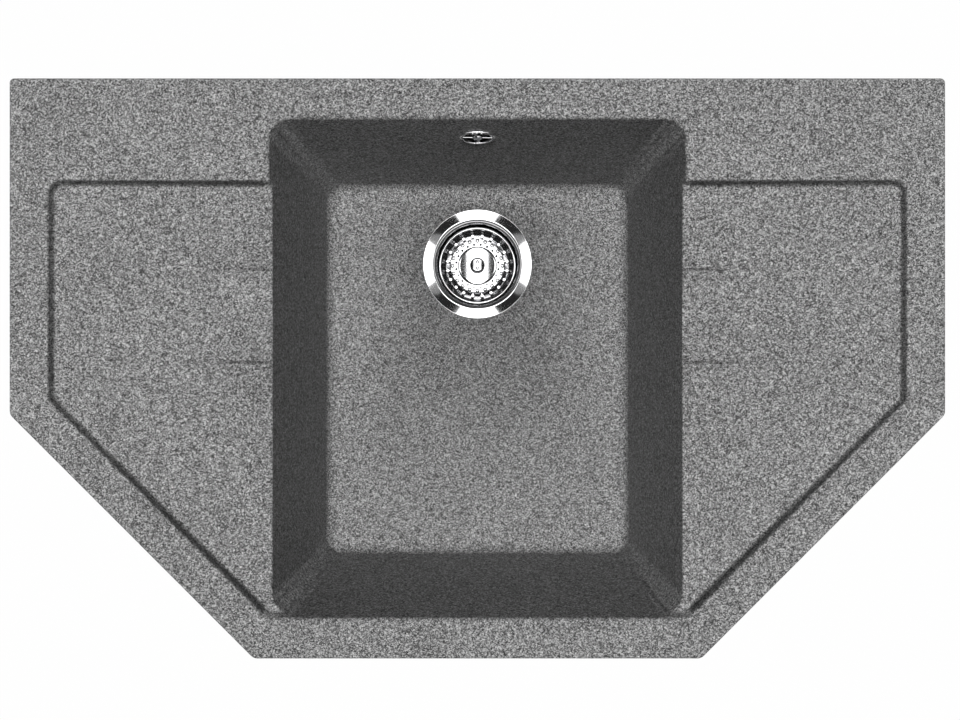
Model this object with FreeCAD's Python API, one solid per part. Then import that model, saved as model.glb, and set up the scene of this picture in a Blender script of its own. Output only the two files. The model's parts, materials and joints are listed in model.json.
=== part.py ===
"""Corner kitchen sink in granite composite, with its strainer waste, overflow and fixing clamps.

Millimetres. Z = 0 is the underside of the rim, where it lies on the worktop, +Z is up.
X runs along the long back edge, +Y points to that edge, and the origin is the middle of the outline.
"""
import FreeCAD
import Part
import math
import os
from FreeCAD import Vector

# Slab and rim
LENGTH = 790.0
WIDTH = 490.0
CHAMFER = 206.0
RIM_HEIGHT = 10.0
BACK_CORNER_R = 4.0
CUT_CORNER_R = 8.0
TOP_EDGE_R = 2.0
SEAL_INSET = 3.0
SEAL_WIDTH = 5.0
SEAL_DEPTH = 2.5

# Bowl
BOWL_LENGTH = 352.0
BOWL_WIDTH = 421.5
BOWL_CORNER_R = 18.0
BOWL_DEPTH = 190.0
BOWL_DRAFT = math.radians(6.6)
FLOOR_FILLET = 12.0
FLOOR_TILT = 0.006
LIP_R = 4.0
WALL = 8.0
UNDERSIDE_Z = -190.0
UNDERSIDE_FILLET = 16.0

# Drainers: one sunk field on each side, sloping to the bowl
DRAINER_SIDE_INSET = 33.0
DRAINER_CUT_INSET = 32.2
DRAINER_FRONT_Y = -210.5
DRAINER_BACK_Y = 158.6
DRAINER_CORNER_R = 11.0
DRAINER_FRONT_R = 16.0
DRAINER_OUTER_DEPTH = 3.5
DRAINER_BOWL_DEPTH = 9.5
DRAINER_DRAFT = math.radians(15.0)
DRAINER_WALL = 9.0
STEP_FOOT_R = 2.5
STEP_EDGE_R = 2.0
GROOVE_YS = (84.6, 5.1)
GROOVE_LENGTHS = (85.0, 125.0)
GROOVE_WIDTH = 4.8
GROOVE_FLOOR = 2.0
GROOVE_DEPTH = 1.8

# Blind tap hole recesses in the underside
TAP_X = 235.0
TAP_Y = 198.0
TAP_R = 17.5
TAP_DEPTH = 6.0

# Drain hole, strainer cup and gaskets
DRAIN_Y = 108.0
FLANGE_R = 56.5
FLANGE_Z = -181.7
SHEET = 1.0
CUP_R = 42.0
CUP_BEND_R = 5.8
CUP_WALL_DEPTH = 27.0
CUP_DEPTH = 38.0
CUP_FLOOR_R = 31.0
DRAIN_HOLE_R = 46.0
SEAT_RECESS_R = 57.3
GASKET = 1.5
CUP_GASKET_R = 55.5
CUP_GASKET_BORE_R = 48.0
WINDOW_COUNT = 8
WINDOW_R = 5.5
WINDOW_PCD_R = 19.5

# Basket, its depths taken from the flange
RIM_DEPTH = 16.0
BASKET_R = 40.4
BASKET_SHEET = 0.9
RIM_INNER_R = 38.0
TROUGH_DEPTH = 28.0
TROUGH_R = 33.4
TROUGH_INNER_R = 31.2
PLATEAU_DEPTH = 19.0
PLATEAU_R = 28.2
DOME_R = 20.2
DOME_STEP = 0.7
DOME_DEPTH = 17.6
HOLE_COUNT = 20
HOLE_SIDES = 8
PLATEAU_HOLE_R = 1.2
PLATEAU_HOLE_AT = 22.4
WALL_HOLE_R = 1.5
WALL_HOLE_AT = 36.2
WALL_HOLE_DEPTH = 20.8
WALL_HOLE_LEAN = 70.0
RIB_WIDTH = 2.6
RIB_SECTION = [(28.0, 19.4), (30.0, 21.8), (32.4, 22.8), (32.6, 24.4), (30.4, 26.6)]
KNOB_TOP_DEPTH = 9.0
KNOB_R = 7.8
KNOB_WAIST_R = 5.4
BASKET_SEAL_R = 37.2
BASKET_SEAL_BORE_R = 29.6
BASKET_SEAL_HEIGHT = 4.6
STEM_R = 3.0
STEM_NECK_R = 2.0
STEM_DEPTH = 36.6
CLIP_TOP_Z = FLANGE_Z - 29.5
CLIP_R = 4.0
CLIP_COLLAR = 2.0
CLIP_LEG_LENGTH = 5.2
CLIP_LEG_WIDTH = 2.4
CLIP_LEG_BOW = 1.1
CLIP_SHEET = 0.7

# Waste body
BODY_R = 55.0
BODY_WALL = 3.0
BODY_BORE_R = 46.5
BODY_FLANGE = 4.0
LOWER_GASKET = 2.0
LOWER_GASKET_R = 54.0
LOWER_GASKET_BORE_R = 47.5
INLET_REACH = 76.0
CHAMBER_DEPTH = 30.0
CONE_DEPTH = 18.0
OUTLET_R = 23.9
OUTLET_BORE_R = 20.0
OUTLET_LENGTH = 26.0
HUB_R = 8.0
HUB_LENGTH = 24.0
HUB_RIB = 3.0
HUB_RIB_COUNT = 4
HUB_RIB_RUN = 14.0
INSERT_LENGTH = 21.0
SCREW_R = 4.0
SCREW_LENGTH = 22.0
SCREW_PLAY = 0.2
SCREW_HEAD_R = 8.0
SCREW_HEAD_HEIGHT = 7.0
SOCKET_R = 5.4
SOCKET_FLOOR = 0.6
INSERT_R = 5.6

# Overflow
OVERFLOW_Z = -34.0
ROSETTE_R = 15.8
ROSETTE_WIDTH = 3.2
ROSETTE_HEIGHT = 2.3
ROSETTE_COLLAR = 4.0
ROSETTE_HUB_R = 4.6
ROSETTE_PLAY = 0.3
SPOKE_FOOT = -0.6
SPOKE_HEIGHT = 2.0
HUB_FACE = 1.8
BAR_WIDTH = 1.7
BAR_TILT = 3.0
STRAP_WIDTH = 2.4
STRAP_BEND = 1.0
OVERFLOW_HOLE_R = 13.5
OVERFLOW_GASKET = 2.0
ELBOW_R = 15.0
ELBOW_DEPTH = 13.0
ELBOW_WALL = 2.0
ELBOW_FLANGE_R = 18.0
ELBOW_FLANGE = 2.5
SPIGOT_R = 8.0
SPIGOT_BORE_R = 6.5
HOSE_R = 10.0
HOSE_Y = 226.0
HOSE_TOP_Z = -60.0
INLET_Z = -211.0
HOSE_BEND_R = 34.0
HOSE_END_REACH = 58.0
HOSE_NUT_R = 13.5
HOSE_NUT_LENGTH = 13.0
NUT_SIDES = 10
POST_R = 4.3
POST_BORE_R = 3.4
POST_SINK = 3.0
OVERFLOW_SCREW_R = 2.5
OVERFLOW_HEAD_R = 3.9
OVERFLOW_HEAD_HEIGHT = 1.4

# Clamps: studs in cast bosses, six round the rim
CLAMP_INSET = 22.0
BACK_CLAMP_X = 310.0
SIDE_CLAMP_Y = 80.0
CUT_CLAMP_X = 262.0
BOSS_R = 9.0
BOSS_Z = -14.0
STUD_R = 3.0
STUD_BOTTOM_Z = -60.0
STUD_TOP_Z = -4.0
CLAMP_INSERT_R = 4.2
NUT_PLAY = 0.05
WASHER_PLAY = 0.2
CLAW_PLAY = 0.3
NUT_WIDTH = 10.0
NUT_HEIGHT = 5.0
NUT_BOTTOM_Z = -58.0
WASHER_WIDTH = 14.0
WASHER_THICK = 1.6
CLAW_THICK = 2.5
CLAW_WIDTH = 16.0
CLAW_REACH = 19.5
CLAW_LIP = 6.0
CLAW_NOTCH = 2.5
STACK_GAP = 0.1

HALF_L = LENGTH / 2
HALF_W = WIDTH / 2
DECK_Z = RIM_HEIGHT
DRAINER_OUTER_X = HALF_L - DRAINER_SIDE_INSET
BOWL_HALF_L = BOWL_LENGTH / 2
BOWL_HALF_W = BOWL_WIDTH / 2
DRAINER_SLOPE = (DRAINER_BOWL_DEPTH - DRAINER_OUTER_DEPTH) / (DRAINER_OUTER_X - BOWL_HALF_L)
BODY_TOP_Z = UNDERSIDE_Z - LOWER_GASKET
CONE_TOP_Z = BODY_TOP_Z - CHAMBER_DEPTH
CONE_FOOT_Z = CONE_TOP_Z - CONE_DEPTH
HUB_TOP_Z = FLANGE_Z - CUP_DEPTH - SHEET
ELBOW_TOP = -WALL * math.cos(BOWL_DRAFT) - OVERFLOW_GASKET
ELBOW_LOW = ELBOW_TOP - ELBOW_DEPTH
UP = Vector(0, 0, 1)
DRAIN = Vector(0, DRAIN_Y, 0)


# ---- outlines -------------------------------------------------------------

def rounded_wire(corners, place):
    """Closed wire through (u, v, radius) corners, each rounded by a tangent arc. place maps (u, v)."""
    arcs = []
    for i, (u, v, radius) in enumerate(corners):
        here = Vector(u, v, 0)
        before = Vector(*corners[i - 1][:2], 0) - here
        after = Vector(*corners[(i + 1) % len(corners)][:2], 0) - here
        before.normalize()
        after.normalize()
        if radius == 0:
            arcs.append((here, None, here))
            continue
        half = before.getAngle(after) / 2
        reach = radius / math.tan(half)
        middle = before + after
        middle.normalize()
        centre = here + middle * (radius / math.sin(half))
        arcs.append((here + before * reach, centre - middle * radius, here + after * reach))
    edges = []
    for i, (start, via, end) in enumerate(arcs):
        if via:
            points = [place(p.x, p.y) for p in (start, via, end)]
            edges.append(Part.Arc(*points).toShape())
        following = arcs[(i + 1) % len(arcs)][0]
        if end.distanceToPoint(following) > 1e-6:
            edges.append(Part.makeLine(place(end.x, end.y), place(following.x, following.y)))
    return Part.Wire(edges)


def flat(z):
    """Places an outline in the level plane at z."""
    return lambda u, v: Vector(u, v, z)


def prism(corners, z_low, z_high):
    """Upright solid with a rounded outline."""
    face = Part.Face(rounded_wire(corners, flat(z_low)))
    return face.extrude(Vector(0, 0, z_high - z_low))


def tapered(low, z_low, high, z_high):
    """Solid with flat drafted sides between two outlines, its upright edges rounded to low's radii."""
    base = [Vector(u, v, z_low) for u, v, _ in low]
    cover = [Vector(u, v, z_high) for u, v, _ in high]
    outlines = [base[::-1], cover]
    for i in range(len(base)):
        outlines.append([base[i - 1], base[i], cover[i], cover[i - 1]])
    skin = Part.makeShell([Part.Face(Part.makePolygon(o + o[:1])) for o in outlines])
    skin.sewShape()
    solid = Part.makeSolid(skin)
    for wanted in sorted({radius for _, _, radius in low}):
        corners = [p for p, (_, _, radius) in zip(base, low) if radius == wanted]
        solid = solid.makeFillet(wanted, [e for e in solid.Edges if upright_at(e, corners)])
    return solid


def upright_at(edge, corners):
    """Is this the upright edge that starts at one of the corners?"""
    ends = [v.Point for v in edge.Vertexes]
    touches = any(p.distanceToPoint(end) < 1e-6 for p in corners for end in ends)
    return touches and edge.BoundBox.ZLength > 1


def turned(points, axis=Vector(0, 0, 0)):
    """Solid of revolution about the upright line through axis, from a closed (radius, z) section."""
    section = [Vector(r, 0, z) for r, z in points]
    solid = Part.Face(Part.makePolygon(section + section[:1])).revolve(Vector(0, 0, 0), UP, 360)
    solid.translate(axis)
    return solid


def arc_points(centre_r, centre_z, radius, first_deg, last_deg, steps):
    """(radius, z) points along an arc of a section, in even steps."""
    turns = [math.radians(first_deg + (last_deg - first_deg) * i / steps) for i in range(steps + 1)]
    return [(centre_r + radius * math.cos(a), centre_z + radius * math.sin(a)) for a in turns]


def rod(radius, z_low, z_high, at=Vector(0, 0, 0)):
    """Upright cylinder."""
    return Part.makeCylinder(radius, z_high - z_low, Vector(at.x, at.y, z_low))


def ring(outer, inner, z_low, z_high, at=Vector(0, 0, 0)):
    """Upright flat ring."""
    return rod(outer, z_low, z_high, at).cut(rod(inner, z_low, z_high, at))


def polygon_prism(radius, sides, z_low, z_high):
    """Upright prism about the Z axis, with radius out to its corners."""
    turns = [math.radians(360.0 * i / sides) for i in range(sides + 1)]
    corners = [Vector(radius * math.cos(a), radius * math.sin(a), z_low) for a in turns]
    return Part.Face(Part.makePolygon(corners)).extrude(Vector(0, 0, z_high - z_low))


def level_rod(radius, y_low, y_high, z):
    """Cylinder along Y in the middle plane."""
    return Part.makeCylinder(radius, y_high - y_low, Vector(0, y_low, z), Vector(0, 1, 0))


def strip(points, width):
    """Prism of one width along X, its middle on the Y axis, from a closed (y, z) section."""
    section = [Vector(-width / 2, y, z) for y, z in points]
    return Part.Face(Part.makePolygon(section + section[:1])).extrude(Vector(width, 0, 0))


def around(shape, count, centre):
    """The same shape repeated on a circle about the upright line through centre."""
    copies = []
    for i in range(count):
        copy = shape.copy()
        copy.rotate(centre, UP, 360.0 * i / count)
        copies.append(copy)
    return copies


def save(name, shape):
    """Writes one sub-part."""
    if not shape.isValid():
        raise ValueError(name + " is not a valid shape")
    shape.exportStep("parts/" + name + ".step")


# ---- slab and bowl --------------------------------------------------------

def slab_corners(inset, back_r=BACK_CORNER_R, cut_r=CUT_CORNER_R):
    """The slab's outline, moved in by inset, with its corner radii."""
    side = HALF_L - inset
    back = HALF_W - inset
    cut = HALF_L + HALF_W - CHAMFER - inset * math.sqrt(2)
    front = HALF_W - inset
    return [
        (side, back, back_r),
        (-side, back, back_r),
        (-side, side - cut, cut_r),
        (front - cut, -front, cut_r),
        (cut - front, -front, cut_r),
        (side, side - cut, cut_r),
    ]


def bowl_corners(z, grow=0.0):
    """The bowl's outline at height z, which narrows with depth."""
    draw = (DECK_Z - z) * math.tan(BOWL_DRAFT)
    radius = BOWL_CORNER_R + grow
    x = BOWL_HALF_L - draw + grow
    y = BOWL_HALF_W - draw + grow
    return [(x, y, radius), (-x, y, radius), (-x, -y, radius), (x, -y, radius)]


def floor_z(y):
    """Height of the bowl floor, which falls a little to the back."""
    return DECK_Z - BOWL_DEPTH - (y + BOWL_HALF_W) * FLOOR_TILT


def bowl_hollow():
    """The space inside the bowl: drafted walls, a tilted floor and a filleted bottom edge."""
    low_z = UNDERSIDE_Z
    hollow = tapered(bowl_corners(low_z), low_z, bowl_corners(DECK_Z + 2), DECK_Z + 2)
    section = [
        Vector(-BOWL_LENGTH, -WIDTH, floor_z(-WIDTH)),
        Vector(-BOWL_LENGTH, WIDTH, floor_z(WIDTH)),
        Vector(-BOWL_LENGTH, WIDTH, low_z - 10),
        Vector(-BOWL_LENGTH, -WIDTH, low_z - 10),
    ]
    below = Part.Face(Part.makePolygon(section + section[:1])).extrude(Vector(2 * BOWL_LENGTH, 0, 0))
    hollow = hollow.cut(below)
    bottom = [e for e in hollow.Edges if e.BoundBox.ZMax < DECK_Z - BOWL_DEPTH + 2]
    return hollow.makeFillet(FLOOR_FILLET, bottom)


def bowl_shell():
    """Outer form of the bowl under the slab."""
    top_z = DECK_Z / 2
    shell = tapered(
        bowl_corners(UNDERSIDE_Z, WALL), UNDERSIDE_Z, bowl_corners(top_z, WALL), top_z
    )
    bottom = [e for e in shell.Edges if e.BoundBox.ZMax < UNDERSIDE_Z + 1]
    return shell.makeFillet(UNDERSIDE_FILLET, bottom)


def drainer_corners(inset=0.0):
    """Outline of the sunk field across both drainers, moved in by inset."""
    x = DRAINER_OUTER_X - inset
    cut = HALF_L + HALF_W - CHAMFER - (DRAINER_CUT_INSET + inset) * math.sqrt(2)
    back = DRAINER_BACK_Y - inset
    front = DRAINER_FRONT_Y + inset
    outside = max(0.0, -inset)
    corner_r = DRAINER_CORNER_R + outside
    front_r = DRAINER_FRONT_R + outside
    return [
        (x, back, corner_r),
        (-x, back, corner_r),
        (-x, x - cut, corner_r),
        (-cut - front, front, front_r),
        (cut + front, front, front_r),
        (x, x - cut, corner_r),
    ]


def above_drainer(drop, z_high):
    """The space over the two drainer slopes, lowered by drop, up to z_high."""
    outer_z = DECK_Z - DRAINER_OUTER_DEPTH - drop
    middle_z = outer_z - DRAINER_SLOPE * DRAINER_OUTER_X
    end_z = outer_z + DRAINER_SLOPE * (HALF_L - DRAINER_OUTER_X)
    section = [
        Vector(-HALF_L, -WIDTH, end_z),
        Vector(0, -WIDTH, middle_z),
        Vector(HALF_L, -WIDTH, end_z),
        Vector(HALF_L, -WIDTH, z_high),
        Vector(-HALF_L, -WIDTH, z_high),
    ]
    return Part.Face(Part.makePolygon(section + section[:1])).extrude(Vector(0, 2 * WIDTH, 0))


def drainer_hollow():
    """What is taken out of the slab for the two drainers, rounded where its step meets the slopes."""
    drop = 2 * DRAINER_BOWL_DEPTH
    draw = math.tan(DRAINER_DRAFT)
    field = tapered(drainer_corners(drop * draw), DECK_Z - drop, drainer_corners(-2 * draw), DECK_Z + 2)
    field = field.common(above_drainer(0, DECK_Z + 2))
    return field.makeFillet(STEP_FOOT_R, [e for e in field.Edges if on_step_foot(e)])


def on_step_foot(edge):
    """Is this an edge between a drainer's step and its slope? The ridge over the bowl isn't."""
    box = edge.BoundBox
    ridge = box.XLength < 0.01 and abs(box.XMin) < 1
    return box.ZMax < DECK_Z - DRAINER_OUTER_DEPTH + 0.5 and not ridge


def drainer_pan():
    """The slab's thicker underside that follows the drainer slopes."""
    pan = prism(drainer_corners(-DRAINER_WALL), UNDERSIDE_Z / 4, DECK_Z / 2)
    return pan.common(above_drainer(DRAINER_WALL, DECK_Z / 2))


def groove(y, length):
    """One groove with sloping sides in the left drainer, deepest at the bowl and faded out at its far end."""
    low = DECK_Z - DRAINER_BOWL_DEPTH - GROOVE_DEPTH
    height = 3 * GROOVE_DEPTH
    foot = GROOVE_FLOOR / 2
    spread = (GROOVE_WIDTH - GROOVE_FLOOR) / 2 * height / GROOVE_DEPTH
    start_x = LIP_R - BOWL_HALF_L
    section = [
        Vector(start_x, y - foot, low),
        Vector(start_x, y + foot, low),
        Vector(start_x, y + foot + spread, low + height),
        Vector(start_x, y - foot - spread, low + height),
    ]
    rise = GROOVE_DEPTH + DRAINER_SLOPE * length
    along = Vector(-length - LIP_R, 0, rise)
    return Part.Face(Part.makePolygon(section + section[:1])).extrude(along)


def mirrored(shape):
    """The shape on the other side of the middle plane."""
    return shape.mirror(Vector(0, 0, 0), Vector(1, 0, 0))


def clamp_places():
    """(x, y, outward angle in degrees) of the six clamps, inside the rim."""
    inset = CLAMP_INSET
    cut_line = HALF_L + HALF_W - CHAMFER - inset * math.sqrt(2)
    right = [
        (BACK_CLAMP_X, HALF_W - inset, 90.0),
        (HALF_L - inset, SIDE_CLAMP_Y, 0.0),
        (CUT_CLAMP_X, CUT_CLAMP_X - cut_line, -45.0),
    ]
    return right + [(-x, y, 180.0 - angle) for x, y, angle in right]


def sink_body():
    """The casting: slab, rim, drainers, bowl, bosses and recesses in one solid."""
    slab = prism(slab_corners(0), 0, DECK_Z)
    slab = slab.makeFillet(TOP_EDGE_R, [e for e in slab.Edges if e.BoundBox.ZMin > DECK_Z - 0.01])
    bosses = [rod(BOSS_R, BOSS_Z, 1, Vector(x, y, 0)) for x, y, _ in clamp_places()]
    body = slab.fuse([drainer_pan(), bowl_shell()] + bosses).cut(bowl_hollow())
    body = body.makeFillet(LIP_R, [e for e in body.Edges if on_bowl_lip(e)])
    body = body.cut(drainer_hollow()).removeSplitter()
    body = body.makeFillet(STEP_EDGE_R, [e for e in body.Edges if on_step_edge(e)])
    return body.cut(casting_cuts()).removeSplitter()


def casting_cuts():
    """Tools for the casting's seal groove, drain and overflow holes, tap recesses, inserts and grooves."""
    places = [Vector(x, y, 0) for x, y, _ in clamp_places()]
    taps = [Vector(side * TAP_X, TAP_Y, 0) for side in (-1, 1)]
    tools = [rim_seal(-1), overflow_hole()]
    tools += [rod(DRAIN_HOLE_R, UNDERSIDE_Z - WALL, FLANGE_Z + WALL, DRAIN)]
    tools += [rod(SEAT_RECESS_R, FLANGE_Z - SHEET - GASKET, FLANGE_Z + WALL, DRAIN)]
    tools += [rod(TAP_R, -WALL, TAP_DEPTH, tap) for tap in taps]
    tools += [rod(CLAMP_INSERT_R, BOSS_Z - 1, STUD_TOP_Z, place) for place in places]
    for y, length in zip(GROOVE_YS, GROOVE_LENGTHS):
        tools += [groove(y, length), mirrored(groove(y, length))]
    return tools


def on_bowl_lip(edge):
    """Is this one of the edges where the bowl meets the deck?"""
    box = edge.BoundBox
    across = max(abs(box.XMin), abs(box.XMax)) < BOWL_HALF_L + 1
    along = max(abs(box.YMin), abs(box.YMax)) < BOWL_HALF_W + 1
    return box.ZMin > DECK_Z - 0.01 and across and along


def on_step_edge(edge):
    """Is this an edge between the deck and a drainer's step?"""
    box = edge.BoundBox
    across = BOWL_HALF_L + 1 < max(abs(box.XMin), abs(box.XMax)) < DRAINER_OUTER_X + 1
    along = box.YMax < DRAINER_BACK_Y + 0.1 and box.YMin > DRAINER_FRONT_Y - 0.1
    return box.ZMin > DECK_Z - 0.01 and across and along


def rim_seal(z_low=0.0):
    """The strip in the groove under the rim."""
    band = prism(slab_corners(SEAL_INSET), z_low, SEAL_DEPTH)
    return band.cut(prism(slab_corners(SEAL_INSET + SEAL_WIDTH), z_low, SEAL_DEPTH))


# ---- strainer cup and basket ----------------------------------------------

def cup_profile():
    """Section of the pressed cup, from the flange's edge down to its floor and back underneath."""
    top = FLANGE_Z
    wall_z = top - CUP_WALL_DEPTH
    floor = top - CUP_DEPTH
    hole_r = SCREW_R + SCREW_PLAY
    slant = 0.4 * SHEET
    bend = (CUP_R + CUP_BEND_R, top - CUP_BEND_R)
    return (
        [(FLANGE_R, top)]
        + arc_points(*bend, CUP_BEND_R, 90, 180, 3)
        + [(CUP_R, wall_z), (CUP_FLOOR_R, floor), (hole_r, floor), (hole_r, floor - SHEET)]
        + [(CUP_FLOOR_R + slant, floor - SHEET), (CUP_R + SHEET, wall_z - slant)]
        + arc_points(*bend, CUP_BEND_R - SHEET, 180, 90, 3)
        + [(FLANGE_R, top - SHEET)]
    )


def strainer_cup():
    """Flanged cup with a ring of drain windows round its screw hole."""
    cup = turned(cup_profile(), DRAIN)
    floor = FLANGE_Z - CUP_DEPTH
    window = rod(WINDOW_R, floor - 2 * SHEET, floor + SHEET, DRAIN + Vector(WINDOW_PCD_R, 0, 0))
    return cup.cut(around(window, WINDOW_COUNT, DRAIN))


def cup_gasket():
    """Ring under the flange."""
    low = FLANGE_Z - SHEET - GASKET
    return ring(CUP_GASKET_R, CUP_GASKET_BORE_R, low, low + GASKET, DRAIN)


def basket_points(drop):
    """Half section of the basket's sheet from rim to stem, drop below its top side."""
    z = FLANGE_Z - drop
    side = drop / 2
    return [
        (BASKET_R, z - RIM_DEPTH),
        (RIM_INNER_R + side, z - RIM_DEPTH),
        (TROUGH_R + side, z - TROUGH_DEPTH),
        (TROUGH_INNER_R - side, z - TROUGH_DEPTH),
        (PLATEAU_R - 1.6 * side, z - PLATEAU_DEPTH),
        (DOME_R - side, z - PLATEAU_DEPTH),
        (DOME_R - DOME_STEP - side, z - PLATEAU_DEPTH + DOME_STEP),
        (STEM_R, z - DOME_DEPTH),
    ]


def basket():
    """Perforated strainer: rim, sloping wall, trough with ribs, raised plateau and a shallow dome."""
    shell = turned(basket_points(0) + basket_points(BASKET_SHEET)[::-1], DRAIN)
    rib = on_spoke(strip([(r, FLANGE_Z - depth) for r, depth in RIB_SECTION], RIB_WIDTH))
    drills = [
        basket_drill(PLATEAU_HOLE_R, PLATEAU_HOLE_AT, PLATEAU_DEPTH, 0),
        basket_drill(WALL_HOLE_R, WALL_HOLE_AT, WALL_HOLE_DEPTH, WALL_HOLE_LEAN),
    ]
    shell = shell.fuse(around(rib, HOLE_COUNT, DRAIN))
    for drill in drills:
        shell = shell.cut(around(on_spoke(drill), HOLE_COUNT, DRAIN))
    return shell


def basket_drill(radius, at, depth, lean):
    """Faceted tool for one small hole at a radius and depth, leant outwards by lean degrees."""
    reach = 3 * BASKET_SHEET
    tool = polygon_prism(radius, HOLE_SIDES, -reach, reach)
    tool.rotate(Vector(0, 0, 0), Vector(1, 0, 0), -lean)
    tool.translate(Vector(0, at, FLANGE_Z - depth))
    return tool


def on_spoke(shape):
    """Moves a shape made over the Y axis to the basket's first spoke, half a step from the middle plane."""
    shape.rotate(Vector(0, 0, 0), UP, 180.0 / HOLE_COUNT)
    shape.translate(DRAIN)
    return shape


def basket_knob():
    """Waisted grip on the basket."""
    top = FLANGE_Z - KNOB_TOP_DEPTH
    low = FLANGE_Z - DOME_DEPTH
    return turned(
        [
            (0, top),
            (KNOB_R - 1.2, top),
            (KNOB_R, top - 0.8),
            (KNOB_R, top - 2.6),
            (KNOB_WAIST_R, top - 4.6),
            (KNOB_WAIST_R, low),
            (0, low),
        ],
        DRAIN,
    )


def basket_stem():
    """Rod under the knob, with a collar above the clip and a head below it."""
    top = FLANGE_Z - DOME_DEPTH
    low = FLANGE_Z - STEM_DEPTH
    head_r = STEM_R - 0.3
    head_z = low + 1.2
    return turned(
        [
            (0, top),
            (STEM_R, top),
            (STEM_R, CLIP_TOP_Z + STACK_GAP),
            (STEM_NECK_R, CLIP_TOP_Z + STACK_GAP),
            (STEM_NECK_R, head_z),
            (head_r, head_z),
            (head_r, low),
            (0, low),
        ],
        DRAIN,
    )


def basket_seal():
    """Rubber ring under the trough that closes the cup when the basket is down."""
    top = FLANGE_Z - TROUGH_DEPTH - BASKET_SHEET
    low = top - BASKET_SEAL_HEIGHT
    shoulder_r = BASKET_SEAL_R - 3.0
    return turned(
        [
            (shoulder_r, top),
            (BASKET_SEAL_R, top - BASKET_SEAL_HEIGHT / 2),
            (shoulder_r, low),
            (BASKET_SEAL_BORE_R, low),
            (BASKET_SEAL_BORE_R, top),
        ],
        DRAIN,
    )


def stem_clip():
    """Spring clip on the stem: a collar and two bowed legs that snap into the hollow screw."""
    collar_low = CLIP_TOP_Z - CLIP_COLLAR
    foot_z = collar_low - CLIP_LEG_LENGTH
    collar = ring(CLIP_R, STEM_NECK_R + STACK_GAP / 2, collar_low, CLIP_TOP_Z, DRAIN)
    section = [
        (CLIP_R - CLIP_SHEET, collar_low),
        (CLIP_R, collar_low),
        (CLIP_R + CLIP_LEG_BOW, collar_low - CLIP_LEG_LENGTH / 2),
        (CLIP_R - 0.2, foot_z),
        (CLIP_R - 0.2 - CLIP_SHEET, foot_z),
        (CLIP_R + CLIP_LEG_BOW - CLIP_SHEET, collar_low - CLIP_LEG_LENGTH / 2),
    ]
    leg = strip(section, CLIP_LEG_WIDTH)
    leg.translate(DRAIN)
    leg.rotate(DRAIN, UP, -90)
    return collar.fuse(around(leg, 2, DRAIN)).removeSplitter()


# ---- waste body -----------------------------------------------------------

def waste_body():
    """Plastic funnel: flange, chamber, cone, threaded outlet, ribbed hub and overflow inlet."""
    outer = BODY_BORE_R + BODY_WALL
    low = CONE_FOOT_Z - OUTLET_LENGTH
    shell = turned(
        [
            (BODY_BORE_R, BODY_TOP_Z),
            (BODY_R, BODY_TOP_Z),
            (BODY_R, BODY_TOP_Z - BODY_FLANGE),
            (outer, BODY_TOP_Z - BODY_FLANGE),
            (outer, CONE_TOP_Z),
            (OUTLET_R, CONE_FOOT_Z - 1),
            (OUTLET_R, low),
            (OUTLET_BORE_R, low),
            (OUTLET_BORE_R, CONE_FOOT_Z + 2),
            (BODY_BORE_R, CONE_TOP_Z + 2),
        ],
        DRAIN,
    )
    hub = rod(HUB_R, HUB_TOP_Z - HUB_LENGTH, HUB_TOP_Z, DRAIN)
    inlet = level_rod(SPIGOT_R, DRAIN_Y + BODY_BORE_R + 1, DRAIN_Y + INLET_REACH, INLET_Z)
    bore = level_rod(SPIGOT_BORE_R, DRAIN_Y + BODY_BORE_R - BODY_WALL, DRAIN_Y + INLET_REACH + 1, INLET_Z)
    body = shell.fuse([hub, inlet] + around(hub_rib(), HUB_RIB_COUNT, DRAIN))
    return body.cut([bore, waste_insert_space()]).removeSplitter()


def hub_rib():
    """One of the ribs that carry the hub over the outlet."""
    slope = CONE_DEPTH / (BODY_BORE_R - OUTLET_BORE_R)
    foot_r = OUTLET_BORE_R + 1
    foot_z = CONE_FOOT_Z + 2
    low = HUB_TOP_Z - HUB_LENGTH
    high = HUB_TOP_Z - HUB_RIB
    section = [
        (0, low),
        (foot_r, low),
        (foot_r, foot_z),
        (foot_r + HUB_RIB_RUN, foot_z + HUB_RIB_RUN * slope),
        (HUB_R, high),
        (0, high),
    ]
    rib = strip(section, HUB_RIB)
    rib.translate(DRAIN)
    return rib


def waste_insert_space():
    """Hole in the hub for its brass insert."""
    return rod(INSERT_R, HUB_TOP_Z - INSERT_LENGTH, HUB_TOP_Z + 1, DRAIN)


def waste_insert():
    """Brass nut moulded into the hub."""
    return ring(INSERT_R, SCREW_R, HUB_TOP_Z - INSERT_LENGTH, HUB_TOP_Z, DRAIN)


def waste_gasket():
    """Ring between the casting and the waste body."""
    return ring(LOWER_GASKET_R, LOWER_GASKET_BORE_R, BODY_TOP_Z, UNDERSIDE_Z, DRAIN)


def waste_screw():
    """Screw with a hollow head, which also holds the basket's clip."""
    floor = FLANGE_Z - CUP_DEPTH
    return turned(
        [
            (SOCKET_R, floor + SCREW_HEAD_HEIGHT),
            (SCREW_HEAD_R, floor + SCREW_HEAD_HEIGHT),
            (SCREW_HEAD_R, floor),
            (SCREW_R, floor),
            (SCREW_R, floor - SCREW_LENGTH),
            (0, floor - SCREW_LENGTH),
            (0, floor + SOCKET_FLOOR),
            (SOCKET_R, floor + SOCKET_FLOOR),
        ],
        DRAIN,
    )


# ---- overflow -------------------------------------------------------------

def on_wall(shape):
    """Moves a shape made about the Z axis, with +Z into the bowl, onto the back wall's overflow point."""
    wall_y = BOWL_HALF_W - (DECK_Z - OVERFLOW_Z) * math.tan(BOWL_DRAFT)
    shape.rotate(Vector(0, 0, 0), Vector(1, 0, 0), 90 - math.degrees(BOWL_DRAFT))
    shape.translate(Vector(0, wall_y, OVERFLOW_Z))
    return shape


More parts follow.
